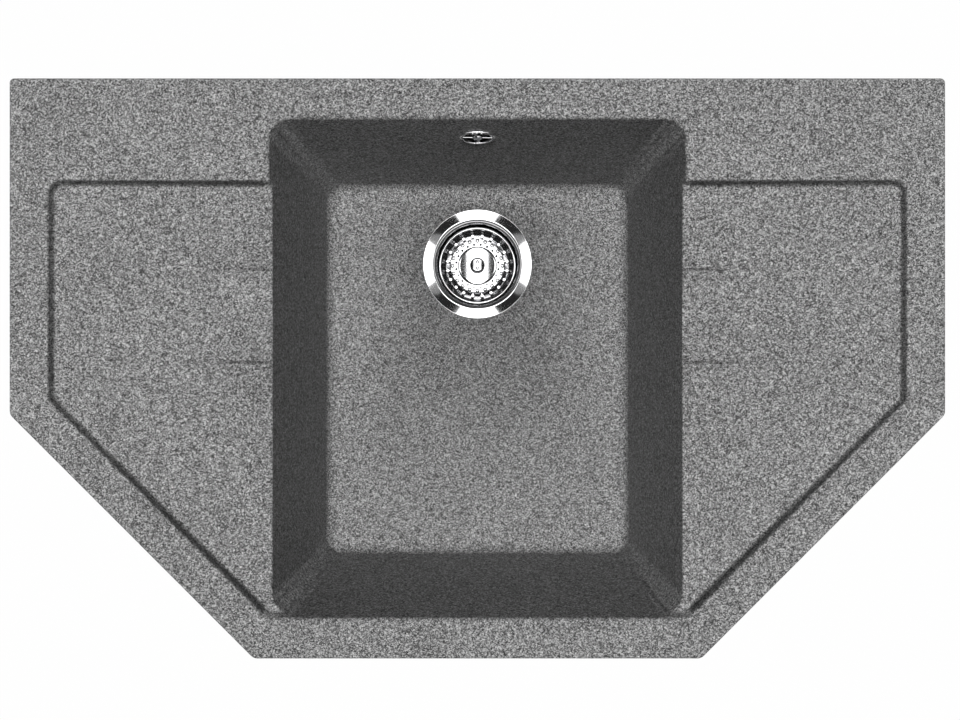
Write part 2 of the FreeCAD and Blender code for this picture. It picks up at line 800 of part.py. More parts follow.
def overflow_hole():
    """Hole through the back wall."""
    return on_wall(rod(OVERFLOW_HOLE_R, -2 * WALL, WALL))


def overflow_rosette():
    """Chromed ring with a collar in the hole, a hub, a level bar and an upright strap across it."""
    inner_r = ROSETTE_R - ROSETTE_WIDTH
    collar_r = OVERFLOW_HOLE_R - ROSETTE_PLAY
    shell = turned(
        [
            (ROSETTE_R, 0),
            (ROSETTE_R, 0.4 * ROSETTE_HEIGHT),
            (ROSETTE_R - 0.4 * ROSETTE_WIDTH, ROSETTE_HEIGHT),
            (inner_r, 0.6 * ROSETTE_HEIGHT),
            (inner_r, -ROSETTE_COLLAR),
            (collar_r, -ROSETTE_COLLAR),
            (collar_r, 0),
        ]
    )
    reach = (inner_r + collar_r) / 2
    bar = Part.makeBox(2 * reach, BAR_WIDTH, SPOKE_HEIGHT, Vector(-reach, -BAR_WIDTH / 2, SPOKE_FOOT))
    bar.rotate(Vector(0, 0, 0), UP, -BAR_TILT)
    hub = rod(ROSETTE_HUB_R, SPOKE_FOOT, HUB_FACE)
    grille = shell.fuse([bar, rosette_strap(reach), hub])
    return on_wall(grille.cut(rod(OVERFLOW_SCREW_R, SPOKE_FOOT - 1, HUB_FACE + 1)).removeSplitter())


def rosette_strap(reach):
    """Upright strap across the rosette, bent sideways like a flat S."""
    half = STRAP_WIDTH / 2
    line = [
        (STRAP_BEND, -reach),
        (STRAP_BEND, -ROSETTE_HUB_R),
        (-STRAP_BEND, ROSETTE_HUB_R),
        (-STRAP_BEND, reach),
    ]
    outline = [Vector(x - half, y, SPOKE_FOOT) for x, y in line]
    outline += [Vector(x + half, y, SPOKE_FOOT) for x, y in reversed(line)]
    return Part.Face(Part.makePolygon(outline + outline[:1])).extrude(Vector(0, 0, SPOKE_HEIGHT))


def overflow_screw():
    """Screw in the rosette's hub, down into the elbow's insert."""
    low = ELBOW_LOW + ELBOW_WALL + 1
    top = HUB_FACE + OVERFLOW_HEAD_HEIGHT
    return on_wall(turned(
        [
            (0, top),
            (0.67 * OVERFLOW_HEAD_R, top),
            (OVERFLOW_HEAD_R, HUB_FACE),
            (OVERFLOW_SCREW_R, HUB_FACE),
            (OVERFLOW_SCREW_R, low),
            (0, low),
        ]
    ))


def overflow_gasket():
    """Rubber ring between the bowl's outer wall and the elbow."""
    return on_wall(ring(ELBOW_FLANGE_R, OVERFLOW_HOLE_R, ELBOW_TOP, ELBOW_TOP + OVERFLOW_GASKET))


def overflow_elbow():
    """Plastic box behind the wall, with a post for the screw and a spigot pointing down."""
    inner_r = ELBOW_R - ELBOW_WALL
    floor = ELBOW_LOW + ELBOW_WALL
    shell = turned(
        [
            (inner_r, ELBOW_TOP),
            (ELBOW_FLANGE_R, ELBOW_TOP),
            (ELBOW_FLANGE_R, ELBOW_TOP - ELBOW_FLANGE),
            (ELBOW_R, ELBOW_TOP - ELBOW_FLANGE),
            (ELBOW_R, ELBOW_LOW),
            (0, ELBOW_LOW),
            (0, floor),
            (inner_r, floor),
        ]
    )
    end_z = HOSE_TOP_Z - HOSE_NUT_LENGTH - 1
    top_z = OVERFLOW_Z - SPIGOT_R
    place = Vector(0, HOSE_Y, 0)
    spigot = rod(SPIGOT_R, end_z, top_z, place).cut(on_wall(rod(inner_r, floor, ELBOW_TOP + 1)))
    bore = rod(SPIGOT_BORE_R, end_z - 1, top_z, place).cut(on_wall(rod(ELBOW_R, ELBOW_LOW, floor)))
    post = on_wall(rod(POST_R, ELBOW_LOW + 1, ELBOW_TOP - POST_SINK))
    body = on_wall(shell).fuse(spigot).cut(bore).fuse(post)
    return body.cut(on_wall(rod(POST_BORE_R, floor, ELBOW_TOP))).removeSplitter()


def overflow_insert():
    """Brass insert in the elbow's post."""
    return on_wall(ring(POST_BORE_R, OVERFLOW_SCREW_R, ELBOW_LOW + ELBOW_WALL, ELBOW_TOP - POST_SINK))


def overflow_hose():
    """Bent tube from the elbow's spigot to the waste body's inlet."""
    centre_y = HOSE_Y - HOSE_BEND_R
    centre_z = INLET_Z + HOSE_BEND_R
    start = Vector(0, HOSE_Y, centre_z)
    tubes = []
    for radius in (HOSE_R, SPIGOT_R):
        down = rod(radius, centre_z, HOSE_TOP_Z, Vector(0, HOSE_Y, 0))
        disc = Part.Face(Part.Wire(Part.makeCircle(radius, start, UP)))
        bend = disc.revolve(Vector(0, centre_y, centre_z), Vector(1, 0, 0), -90)
        level = level_rod(radius, DRAIN_Y + HOSE_END_REACH, centre_y, INLET_Z)
        tubes.append(down.fuse([bend, level]))
    return tubes[0].cut(tubes[1]).removeSplitter()


def hose_nut():
    """Grip-sided union nut over a hose end, made upright on the Z axis."""
    nut = polygon_prism(HOSE_NUT_R, NUT_SIDES, 0, HOSE_NUT_LENGTH)
    return nut.cut(rod(HOSE_R, -1, HOSE_NUT_LENGTH + 1))


def hose_nut_upper():
    """Nut on the elbow's spigot."""
    nut = hose_nut()
    nut.translate(Vector(0, HOSE_Y, HOSE_TOP_Z - HOSE_NUT_LENGTH))
    return nut


def hose_nut_lower():
    """Nut on the waste body's inlet."""
    nut = hose_nut()
    nut.rotate(Vector(0, 0, 0), Vector(1, 0, 0), -90)
    nut.translate(Vector(0, DRAIN_Y + HOSE_END_REACH, INLET_Z))
    return nut


# ---- clamps ---------------------------------------------------------------

def clamp_inserts():
    """Brass inserts in the six bosses."""
    places = [Vector(x, y, 0) for x, y, _ in clamp_places()]
    return Part.makeCompound([ring(CLAMP_INSERT_R, STUD_R, BOSS_Z, STUD_TOP_Z, place) for place in places])


def clamp_studs():
    """Studs in the six inserts."""
    places = [Vector(x, y, 0) for x, y, _ in clamp_places()]
    return Part.makeCompound([rod(STUD_R, STUD_BOTTOM_Z, STUD_TOP_Z, place) for place in places])


def clamp_nut():
    """Hexagon nut at the bottom of its stud."""
    top = NUT_BOTTOM_Z + NUT_HEIGHT
    hexagon = polygon_prism(NUT_WIDTH / math.sqrt(3), 6, NUT_BOTTOM_Z, top)
    return hexagon.cut(rod(STUD_R + NUT_PLAY, NUT_BOTTOM_Z - 1, top + 1))


def clamp_washer():
    """Square plate washer on the nut."""
    low = NUT_BOTTOM_Z + NUT_HEIGHT + STACK_GAP
    half = WASHER_WIDTH / 2
    plate = Part.makeBox(WASHER_WIDTH, WASHER_WIDTH, WASHER_THICK, Vector(-half, -half, low))
    return plate.cut(rod(STUD_R + WASHER_PLAY, low - 1, low + WASHER_THICK + 1))


def clamp_claw():
    """Pressed strip with a hole at one end and a toothed lip at the other, reaching along +X."""
    low = NUT_BOTTOM_Z + NUT_HEIGHT + WASHER_THICK + 2 * STACK_GAP
    top = low + CLAW_THICK
    half = CLAW_WIDTH / 2
    outline = [
        Vector(CLAW_REACH, -half, low),
        Vector(CLAW_REACH, half, low),
        Vector(-half / 2, half, low),
        Vector(-half, half / 2, low),
        Vector(-half, -half / 2, low),
        Vector(-half / 2, -half, low),
    ]
    plate = Part.Face(Part.makePolygon(outline + outline[:1])).extrude(Vector(0, 0, CLAW_THICK))
    teeth = [
        Vector(CLAW_REACH, -half, top),
        Vector(CLAW_REACH, half, top),
        Vector(CLAW_REACH, half, top + CLAW_LIP),
        Vector(CLAW_REACH, half / 2, top + CLAW_LIP - CLAW_NOTCH),
        Vector(CLAW_REACH, 0, top + CLAW_LIP),
        Vector(CLAW_REACH, -half / 2, top + CLAW_LIP - CLAW_NOTCH),
        Vector(CLAW_REACH, -half, top + CLAW_LIP),
    ]
    lip = Part.Face(Part.makePolygon(teeth + teeth[:1])).extrude(Vector(-CLAW_THICK, 0, 0))
    return plate.fuse(lip).cut(rod(STUD_R + CLAW_PLAY, low - 1, top + 1)).removeSplitter()


def placed(shape, x, y, angle):
    """A copy turned about its own upright axis and moved to a clamp's place."""
    copy = shape.copy()
    copy.rotate(Vector(0, 0, 0), UP, angle)
    copy.translate(Vector(x, y, 0))
    return copy


def save_clamps():
    """Writes the three moving pieces of each clamp. The claws are parked along the rim."""
    nut = clamp_nut()
    washer = clamp_washer()
    claw = clamp_claw()
    for number, (x, y, outward) in enumerate(clamp_places(), 1):
        save("clamp_nut_%d" % number, placed(nut, x, y, outward))
        save("clamp_washer_%d" % number, placed(washer, x, y, outward))
        save("clamp_claw_%d" % number, placed(claw, x, y, outward + 180))


def main():
    os.makedirs("parts", exist_ok=True)
    save("sink_body", sink_body())
    save("rim_seal", rim_seal())
    save("strainer_cup", strainer_cup())
    save("cup_gasket", cup_gasket())
    save("basket", basket())
    save("basket_knob", basket_knob())
    save("basket_stem", basket_stem())
    save("basket_seal", basket_seal())
    save("stem_clip", stem_clip())
    save("waste_screw", waste_screw())
    save("waste_insert", waste_insert())
    save("waste_body", waste_body())
    save("waste_gasket", waste_gasket())
    save("overflow_rosette", overflow_rosette())
    save("overflow_screw", overflow_screw())
    save("overflow_gasket", overflow_gasket())
    save("overflow_elbow", overflow_elbow())
    save("overflow_insert", overflow_insert())
    save("overflow_hose", overflow_hose())
    save("hose_nut_upper", hose_nut_upper())
    save("hose_nut_lower", hose_nut_lower())
    save("clamp_inserts", clamp_inserts())
    save("clamp_studs", clamp_studs())
    save_clamps()


main()
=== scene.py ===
"""Studio picture of a corner kitchen sink in speckled grey composite, seen from straight above."""
import bpy
import json
import math
from bpy.props import FloatProperty, FloatVectorProperty, IntProperty, PointerProperty
from mathutils import Matrix, Vector

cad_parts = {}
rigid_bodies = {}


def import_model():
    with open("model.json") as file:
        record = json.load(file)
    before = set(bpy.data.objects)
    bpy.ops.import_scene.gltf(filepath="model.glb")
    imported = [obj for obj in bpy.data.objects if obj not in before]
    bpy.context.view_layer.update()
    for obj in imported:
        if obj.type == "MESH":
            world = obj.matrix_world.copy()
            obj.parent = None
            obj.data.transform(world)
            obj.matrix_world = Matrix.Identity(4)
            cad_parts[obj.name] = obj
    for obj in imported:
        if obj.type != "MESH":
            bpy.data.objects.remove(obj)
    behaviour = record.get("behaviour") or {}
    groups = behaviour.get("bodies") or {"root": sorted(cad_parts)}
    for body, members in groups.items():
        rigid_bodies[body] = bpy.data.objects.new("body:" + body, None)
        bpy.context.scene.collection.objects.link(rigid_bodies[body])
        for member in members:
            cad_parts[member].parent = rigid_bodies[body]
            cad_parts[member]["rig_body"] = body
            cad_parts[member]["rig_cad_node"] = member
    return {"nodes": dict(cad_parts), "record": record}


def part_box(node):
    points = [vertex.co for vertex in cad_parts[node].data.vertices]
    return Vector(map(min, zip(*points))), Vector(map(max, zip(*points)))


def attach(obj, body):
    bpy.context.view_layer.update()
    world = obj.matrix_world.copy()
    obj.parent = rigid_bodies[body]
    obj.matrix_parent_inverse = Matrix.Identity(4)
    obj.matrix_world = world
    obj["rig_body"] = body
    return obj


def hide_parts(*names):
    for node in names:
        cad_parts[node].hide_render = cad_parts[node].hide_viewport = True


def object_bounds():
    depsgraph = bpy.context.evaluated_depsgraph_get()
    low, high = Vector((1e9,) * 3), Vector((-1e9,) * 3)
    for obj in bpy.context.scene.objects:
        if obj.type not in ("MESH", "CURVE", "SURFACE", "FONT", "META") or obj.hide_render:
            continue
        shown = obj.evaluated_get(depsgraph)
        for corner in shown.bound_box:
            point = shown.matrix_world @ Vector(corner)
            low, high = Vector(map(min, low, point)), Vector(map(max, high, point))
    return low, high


bl_info = {
    "name": "Corner Kitchen Sink",
    "version": (1, 0, 0),
    "blender": (4, 5, 0),
    "location": "View3D > Sidebar > Sink",
    "description": "Finishes the corner sink, its strainer, overflow and clamps, and lights it",
    "category": "Add Mesh",
}

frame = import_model()
CAD_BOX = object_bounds()
MM = 0.001
ORIGIN = Vector((0, 0, 0))


def middle(node):
    """Centre of a CAD node's box."""
    low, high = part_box(node)
    return (low + high) / 2


FLANGE_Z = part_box("strainer_cup")[1].z
DRAIN = Vector((0, middle("strainer_cup").y, FLANGE_Z))
DECK_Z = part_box("sink_body")[1].z
FLOOR_Z = CAD_BOX[0][2]

# Middle of the overflow hole in the bowl's back wall, and the lean of that wall.
OVERFLOW = Vector((0, 205.659, -34.0)) * MM
WALL_DRAFT_DEGREES = 6.6

# The slab's outline, and the right drainer's edges and corners, in metres from the slab's middle.
HALF_LENGTH, HALF_WIDTH, CUT_CORNER = 0.395, 0.245, 0.206
DRAINER_INNER, DRAINER_OUTER = 0.181, 0.362
DRAINER_BACK, DRAINER_FRONT = 0.1586, -0.2105
DRAINER_CORNER = 0.011
DRAINER_CUT_INSET = 0.0322
DRAINER_CUT = (HALF_LENGTH + HALF_WIDTH - CUT_CORNER) * math.sqrt(0.5) - DRAINER_CUT_INSET

# Sockets of a Mix node in its colour mode.
MIX_FIRST, MIX_SECOND, MIX_RESULT = 6, 7, 2

# Handle length of a curve's quarter circle, as a share of its radius.
ROUND_HANDLE = 0.5523


# ---- sizes and colours ------------------------------------------------------

class SinkSizes(bpy.types.PropertyGroup):
    """Sizes of the turned and pressed pieces."""
    flange_radius: FloatProperty(
        name="Flange radius", description="Outer radius of the strainer's flange",
        default=56.5 * MM, unit="LENGTH")
    cup_radius: FloatProperty(
        name="Cup radius", description="Inner radius of the strainer's cup",
        default=42 * MM, unit="LENGTH")
    basket_radius: FloatProperty(
        name="Basket radius", description="Outer radius of the basket's rim",
        default=40.4 * MM, unit="LENGTH")
    knob_radius: FloatProperty(
        name="Knob radius", description="Radius of the basket's grip",
        default=7.8 * MM, unit="LENGTH")
    rosette_radius: FloatProperty(
        name="Rosette radius", description="Outer radius of the overflow's ring",
        default=15.8 * MM, unit="LENGTH")
    sheet: FloatProperty(
        name="Sheet", description="Thickness of the pressed metal",
        default=0.9 * MM, unit="LENGTH")
    hole_count: IntProperty(
        name="Holes", description="Holes in each ring of the basket", default=20, min=4, max=60)
    turned_steps: IntProperty(
        name="Steps", description="Steps round a turned piece", default=128, min=24, max=256)


class SinkColours(bpy.types.PropertyGroup):
    """Colours of the finishes, as linear values."""
    granite: FloatVectorProperty(
        name="Granite", description="Middle grey of the composite", default=(0.235, 0.235, 0.235),
        subtype="COLOR", min=0, max=1)
    chrome: FloatVectorProperty(
        name="Chrome", description="Polished metal", default=(0.88, 0.88, 0.89),
        subtype="COLOR", min=0, max=1)
    zinc: FloatVectorProperty(
        name="Zinc", description="Plated clamps", default=(0.62, 0.63, 0.65),
        subtype="COLOR", min=0, max=1)
    brass: FloatVectorProperty(
        name="Brass", description="Inserts", default=(0.78, 0.58, 0.28),
        subtype="COLOR", min=0, max=1)
    plastic: FloatVectorProperty(
        name="Plastic", description="Waste body and elbow", default=(0.03, 0.03, 0.032),
        subtype="COLOR", min=0, max=1)
    rubber: FloatVectorProperty(
        name="Rubber", description="Seals and gaskets", default=(0.02, 0.02, 0.02),
        subtype="COLOR", min=0, max=1)
    hose: FloatVectorProperty(
        name="Hose", description="Overflow hose and clip", default=(0.6, 0.6, 0.6),
        subtype="COLOR", min=0, max=1)


def sizes():
    """The scene's sizes."""
    return bpy.context.scene.sink_sizes


def colours():
    """The scene's colours."""
    return bpy.context.scene.sink_colours


# ---- finishes ---------------------------------------------------------------

class Value:
    """A number in a finish's node tree. Python's operators add the nodes that work it out."""

    def __init__(self, finish, socket):
        self.finish = finish
        self.socket = socket

    def maths(self, operation, *terms):
        """The result of a Math node on the terms."""
        inputs = dict(enumerate(terms))
        node = self.finish.add("ShaderNodeMath", {"operation": operation}, inputs)
        return Value(self.finish, node.outputs[0])

    def __add__(self, other):
        return self.maths("ADD", self, other)

    __radd__ = __add__

    def __mul__(self, other):
        return self.maths("MULTIPLY", self, other)

    __rmul__ = __mul__

    def __sub__(self, other):
        return self.maths("SUBTRACT", self, other)

    def __rsub__(self, other):
        return self.maths("SUBTRACT", other, self)

    def __pow__(self, other):
        return self.maths("POWER", self, other)

    def __abs__(self):
        return self.maths("ABSOLUTE", self)

    def over(self, other):
        """One where this is more than the other, else nothing."""
        return self.maths("GREATER_THAN", self, other)

    def larger(self, other):
        """The larger of this and the other."""
        return self.maths("MAXIMUM", self, other)

    def smaller(self, other):
        """The smaller of this and the other."""
        return self.maths("MINIMUM", self, other)

    def clamped(self, low=0.0, high=1.0):
        """This, kept between two limits."""
        return self.larger(low).smaller(high)


class Finish:
    """One material, or the room round the sink, and the nodes in it."""

    def __init__(self, name, kind="materials", output="ShaderNodeOutputMaterial"):
        self.material = getattr(bpy.data, kind).new(name)
        self.material.use_nodes = True
        self.material.node_tree.nodes.clear()
        self.output = self.add(output)
        self.place = self.add("ShaderNodeTexCoord").outputs["Object"]

    def add(self, kind, settings=None, inputs=None):
        """Adds a node, sets its settings, then links or sets its inputs."""
        node = self.material.node_tree.nodes.new(kind)
        for key, setting in (settings or {}).items():
            setattr(node, key, setting)
        for key, term in (inputs or {}).items():
            self.join(node.inputs[key], term)
        return node

    def join(self, socket, term):
        """Links a value or another socket to a socket, or sets it to a number or colour."""
        if isinstance(term, Value):
            term = term.socket
        if isinstance(term, bpy.types.NodeSocket):
            self.material.node_tree.links.new(term, socket)
        elif isinstance(term, (tuple, list)) and len(socket.default_value) == 4:
            socket.default_value = (*term[:3], 1)
        else:
            socket.default_value = term

    def noise(self, scale, detail):
        """Soft noise at a scale in waves per metre."""
        inputs = {"Vector": self.place, "Scale": scale, "Detail": detail, "Roughness": 0.5}
        return Value(self, self.add("ShaderNodeTexNoise", None, inputs).outputs[0])

    def grains(self, scale):
        """A random number for each grain of a crushed-stone pattern."""
        inputs = {"Vector": self.place, "Scale": scale}
        node = self.add("ShaderNodeTexVoronoi", {"feature": "F1"}, inputs)
        parts = self.add("ShaderNodeSeparateColor", None, {"Color": node.outputs["Color"]})
        return Value(self, parts.outputs[0])

    def parts(self, vector):
        """The X, Y and Z of a vector."""
        node = self.add("ShaderNodeSeparateXYZ", None, {"Vector": vector})
        return [Value(self, socket) for socket in node.outputs]

    def grey(self, value):
        """A grey colour from one number."""
        channels = {"Red": value, "Green": value, "Blue": value}
        return self.add("ShaderNodeCombineColor", None, channels).outputs[0]

    def mixed(self, share, first, second):
        """Colour between two colours."""
        inputs = {"Factor": share, MIX_FIRST: tuple(first), MIX_SECOND: tuple(second)}
        return self.add("ShaderNodeMix", {"data_type": "RGBA"}, inputs).outputs[MIX_RESULT]

    def bumps(self, height, distance, strength):
        """A normal that follows a height, at full height the distance in metres."""
        inputs = {"Height": height, "Distance": distance, "Strength": strength}
        return self.add("ShaderNodeBump", None, inputs).outputs[0]

    def surface(self, **inputs):
        """The finish's shader, by the shader's own socket names with spaces as underscores."""
        named = {key.replace("_", " "): term for key, term in inputs.items()}
        node = self.add("ShaderNodeBsdfPrincipled", None, named)
        self.join(self.output.inputs["Surface"], node.outputs[0])
        return self.material


def painted_step_foot_shade(across, along):
    """Painted shade band along the foot of the step round the drainers: one at the foot, falling to
    nothing on both sides of it.
    """
    foot, reach = 0.0018, 0.0030
    side = across - (DRAINER_OUTER - DRAINER_CORNER)
    back = along - (DRAINER_BACK - DRAINER_CORNER)
    side_in, back_in = side.larger(0), back.larger(0)
    round_corner = (side_in * side_in + back_in * back_in) ** 0.5 + side.larger(back).smaller(0)
    cut_front = (across - along) * math.sqrt(0.5) - DRAINER_CUT
    inside = (round_corner - DRAINER_CORNER).larger(cut_front).larger(DRAINER_FRONT - along)
    away = (inside + foot) * (1 / reach)
    return (1 - away * away).clamped()


def granite_finish():
    """Light and dark grains in a middle grey, with painted shade on steep faces and a painted shade
    line round the drainers.
    """
    finish = Finish("granite_composite")
    fine, coarse = finish.grains(1150.0), finish.grains(700.0)
    dust, cloud = finish.noise(1800.0, 1.0), finish.noise(9.0, 3.0)
    mean, contrast, sparkle = 0.985, 0.55, 1.2
    level = (fine * 0.95 + coarse * 0.42 + dust * 0.5 + cloud * 0.1 - mean) * contrast
    shade = (level + colours().granite[0] + (level * level) * sparkle).clamped(0.02, 0.9)
    across, along, height = finish.parts(finish.place)
    across = abs(across)
    upward = finish.parts(finish.add("ShaderNodeNewGeometry").outputs["Normal"])[2]
    steep = (1 - upward * upward).clamped()
    # Strengths of the painted shade along the step's foot, on the drainers' steep faces and on all
    # steep faces; groove_slope is the slope where the drainers' face shade starts.
    painted_foot_shade_strength, painted_face_shade_strength, groove_slope, painted_wall_shade_strength = 0.74, 0.65, 0.2, 0.29
    rim_underside = -0.001
    # Painted shade on the drainers' steep faces, the step's walls and the grooves' sides, growing
    # with the slope beyond groove_slope.
    face = (steep - groove_slope).larger(0) ** 0.5 * painted_face_shade_strength
    on_drainer = across.over(DRAINER_INNER) * height.over(rim_underside)
    # Painted shade on the drainers: the band along the step's foot or the painted shade of their
    # steep faces, whichever is darker.
    step = (painted_step_foot_shade(across, along) * painted_foot_shade_strength).larger(face) * on_drainer
    # Painted shade on every steep face, such as the bowl's walls: the grain's shade is darkened by
    # the larger of this and the drainers' painted shade.
    shade = shade * (1 - step.larger(steep * painted_wall_shade_strength))
    return finish.surface(
        Base_Color=finish.grey(shade),
        Roughness=0.62 - coarse * 0.16,
        IOR=1.45,
        Specular_IOR_Level=0.25,
        Normal=finish.bumps(coarse + dust, 0.00012, 0.5),
    )


def polished_finish(name, colour, roughness):
    """Bright metal with faint haze where it has been wiped."""
    finish = Finish(name)
    haze = finish.noise(45.0, 4.0)
    return finish.surface(
        Base_Color=finish.mixed(haze * 0.3, colour, (0.9 * part for part in colour)),
        Metallic=1.0,
        Roughness=haze * 0.02 + (roughness - 0.01),
    )


def metal_finish(name, colour, roughness, streak):
    """Plain or plated metal with faint wear."""
    finish = Finish(name)
    wear, fine = finish.noise(60.0, 4.0), finish.noise(900.0, 2.0)
    return finish.surface(
        Base_Color=finish.mixed(wear * 0.25, colour, (0.82 * part for part in colour)),
        Metallic=1.0,
        Roughness=(wear * 0.06 + fine * streak + (roughness - 0.03)).clamped(0.02, 1.0),
        Normal=finish.bumps(fine, 0.00002, 0.15 + streak),
    )


def moulded_finish(name, colour, roughness, grain):
    """Moulded plastic or rubber with a fine texture."""
    finish = Finish(name)
    cloud, fine = finish.noise(25.0, 3.0), finish.noise(1400.0, 2.0)
    paler = (min(1.0, 1.35 * part + 0.01) for part in colour)
    return finish.surface(
        Base_Color=finish.mixed(cloud * 0.5, colour, paler),
        Roughness=(cloud * 0.12 + (roughness - 0.06)).clamped(0.05, 1.0),
        Normal=finish.bumps(fine, 0.00005, grain),
    )


FINISH_NAMES = {
    "granite": "granite_composite",
    "foam_seal": "seal_foam",
    "chrome": "polished_chrome",
    "basket_steel": "pressed_steel",
    "steel": "screw_steel",
    "galvanised": "zinc_plate",
    "brass": "insert_brass",
    "rubber": "black_rubber",
    "plastic": "black_plastic",
    "hose": "grey_hose",
    "clip_plastic": "white_clip",
}


def all_finishes():
    """Every finish by the record's slot name, made once."""
    c = colours()
    if "granite_composite" not in bpy.data.materials:
        granite_finish()
        polished_finish("polished_chrome", c.chrome, 0.04)
        polished_finish("pressed_steel", c.chrome, 0.06)
        metal_finish("screw_steel", c.zinc, 0.3, 0.1)
        metal_finish("zinc_plate", c.zinc, 0.38, 0.15)
        metal_finish("insert_brass", c.brass, 0.3, 0.1)
        moulded_finish("black_rubber", c.rubber, 0.7, 0.3)
        moulded_finish("seal_foam", c.rubber, 0.9, 0.9)
        moulded_finish("black_plastic", c.plastic, 0.42, 0.2)
        moulded_finish("grey_hose", c.hose, 0.5, 0.2)
        moulded_finish("white_clip", c.hose, 0.45, 0.1)
    return {slot: bpy.data.materials[name] for slot, name in FINISH_NAMES.items()}


def dress(piece, material):
    """Gives a piece one finish."""
    piece.data.materials.clear()
    piece.data.materials.append(material)


# ---- modelling helpers ------------------------------------------------------

def deselect():
    """Leaves edit mode and selects nothing."""
    if bpy.context.object and bpy.context.object.mode != "OBJECT":
        bpy.ops.object.mode_set(mode="OBJECT")
    bpy.ops.object.select_all(action="DESELECT")


def make_active(piece):
    """Selects only the piece."""
    deselect()
    piece.select_set(True)
    bpy.context.view_layer.objects.active = piece


def edit_all():
    """Opens the active piece in edit mode with everything selected."""
    bpy.ops.object.mode_set(mode="EDIT")
    bpy.ops.mesh.select_all(action="SELECT")


def weld(distance=1e-7):
    """Merges all vertices of the open piece that lie within the distance."""
    bpy.ops.mesh.select_all(action="SELECT")
    bpy.ops.mesh.remove_doubles(threshold=distance)


def close(outward=False):
    """Leaves edit mode, if asked with every face turned outward."""
    if outward:
        bpy.ops.mesh.select_all(action="SELECT")
        bpy.ops.mesh.normals_make_consistent(inside=False)
    bpy.ops.object.mode_set(mode="OBJECT")


def named_as(piece, name):
    """Gives a piece and its mesh their name."""
    piece.name = name
    piece.data.name = name
    return piece


def named(name):
    """Gives the primitive that was just added its name."""
    return named_as(bpy.context.object, name)


def apply_modifier(piece, kind, **settings):
    """Adds a modifier to the piece and applies it."""
    make_active(piece)
    modifier = piece.modifiers.new(kind.lower(), kind)
    for key, setting in settings.items():
        setattr(modifier, key, setting)
    bpy.ops.object.modifier_apply(modifier=modifier.name)


def smooth(piece, degrees):
    """Shades the piece smooth, but not over edges sharper than this many degrees."""
    make_active(piece)
    bpy.ops.object.shade_smooth_by_angle(angle=math.radians(degrees))


def settle(piece):
    """Moves the object's place into its mesh."""
    make_active(piece)
    bpy.ops.object.transform_apply(location=True, rotation=True, scale=True)


def joined(pieces):
    """Joins pieces into the first one."""
    make_active(pieces[0])
    for piece in pieces:
        piece.select_set(True)
    bpy.ops.object.join()
    return pieces[0]


def copy_at(piece, place):
    """A copy with its own mesh, moved by a matrix."""
    make_active(piece)
    bpy.ops.object.duplicate()
    copy = bpy.context.object
    copy.matrix_world = place
    settle(copy)
    return copy


def on_wall(piece):
    """Moves a piece made about Z, with +Z into the bowl, to the overflow in the back wall."""
    tilt = math.radians(90 - WALL_DRAFT_DEGREES)
    piece.matrix_world = Matrix.Translation(OVERFLOW) @ Matrix.Rotation(tilt, 4, "X")
    settle(piece)


def ring_of(piece, count, axis):
    """Repeats a piece round the upright line through axis, all in one mesh."""
    settle(piece)
    centre = Matrix.Translation(axis)
    turns = [Matrix.Rotation(2 * math.pi * i / count, 4, "Z") for i in range(1, count)]
    return joined([piece] + [copy_at(piece, centre @ turn @ centre.inverted()) for turn in turns])


def half_step(piece):
    """Turns a piece made on the basket's X line onto the first spoke, half a step further round."""
    settle(piece)
    turn = Matrix.Rotation(math.pi / sizes().hole_count, 4, "Z")
    piece.matrix_world = Matrix.Translation(DRAIN) @ turn @ Matrix.Translation(-DRAIN)


def cut(piece, tool):
    """Cuts a tool's shape out of the piece and deletes the tool."""
    apply_modifier(piece, "BOOLEAN", operation="DIFFERENCE", object=tool, solver="EXACT")
    bpy.data.objects.remove(tool, do_unlink=True)


def open_at(piece, test):
    """Opens the piece in edit mode with the vertices selected whose place passes the test."""
    make_active(piece)
    bpy.ops.object.mode_set(mode="EDIT")
    bpy.ops.mesh.select_mode(type="VERT")
    bpy.ops.mesh.select_all(action="DESELECT")
    close()
    for vertex in piece.data.vertices:
        vertex.select = test(vertex.co)
    bpy.ops.object.mode_set(mode="EDIT")


def copy_of(node, name):
    """A merged copy of a CAD node's mesh, as a piece of its own."""
    make_active(frame["nodes"][node])
    bpy.ops.object.duplicate()
    piece = named(name)
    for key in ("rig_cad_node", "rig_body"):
        del piece[key]
    piece.parent = None
    bpy.ops.object.mode_set(mode="EDIT")
    weld(1e-6)
    close()
    return piece


def round_edges(piece, width, segments=2, degrees=30):
    """Rounds the edges sharper than this many degrees, to a width in millimetres."""
    apply_modifier(piece, "BEVEL", width=width * MM, segments=segments, limit_method="ANGLE",
                   angle_limit=math.radians(degrees))


def eased(node, name, width, segments=2):
    """A copy of a CAD node with its sharp edges rounded."""
    piece = copy_of(node, name)
    edit_all()
    bpy.ops.mesh.dissolve_limited(angle_limit=math.radians(1))
    close()
    round_edges(piece, width, segments, 35)
    smooth(piece, 35)
    return piece


def rounded(points, steps=4):
    """The (r, z) points of a closed section of (r, z, corner radius), its corners made arcs."""
    section = []
    for i, (r, z, radius) in enumerate(points):
        here = Vector((r, z))
        if not radius:
            section.append(here)
            continue
        before = (Vector(points[i - 1][:2]) - here).normalized()
        after = (Vector(points[(i + 1) % len(points)][:2]) - here).normalized()
        half = before.angle(after) / 2
        centre = here + (before + after).normalized() * (radius / math.sin(half))
        start = here + before * (radius / math.tan(half)) - centre
        end = here + after * (radius / math.tan(half)) - centre
        turn = start.angle_signed(end)
        turns = [Matrix.Rotation(-turn * step / steps, 2) for step in range(steps + 1)]
        section += [centre + turn @ start for turn in turns]
    return braced(section)


def braced(section):
    """Adds a point near both ends of each long straight, so that smooth shading stays even."""
    inset = 0.25
    points = []
    for here, ahead in zip(section, section[1:] + section[:1]):
        points.append(here)
        step = ahead - here
        if step.length > 6 * inset:
            points += [here + step.normalized() * inset, ahead - step.normalized() * inset]
    return points


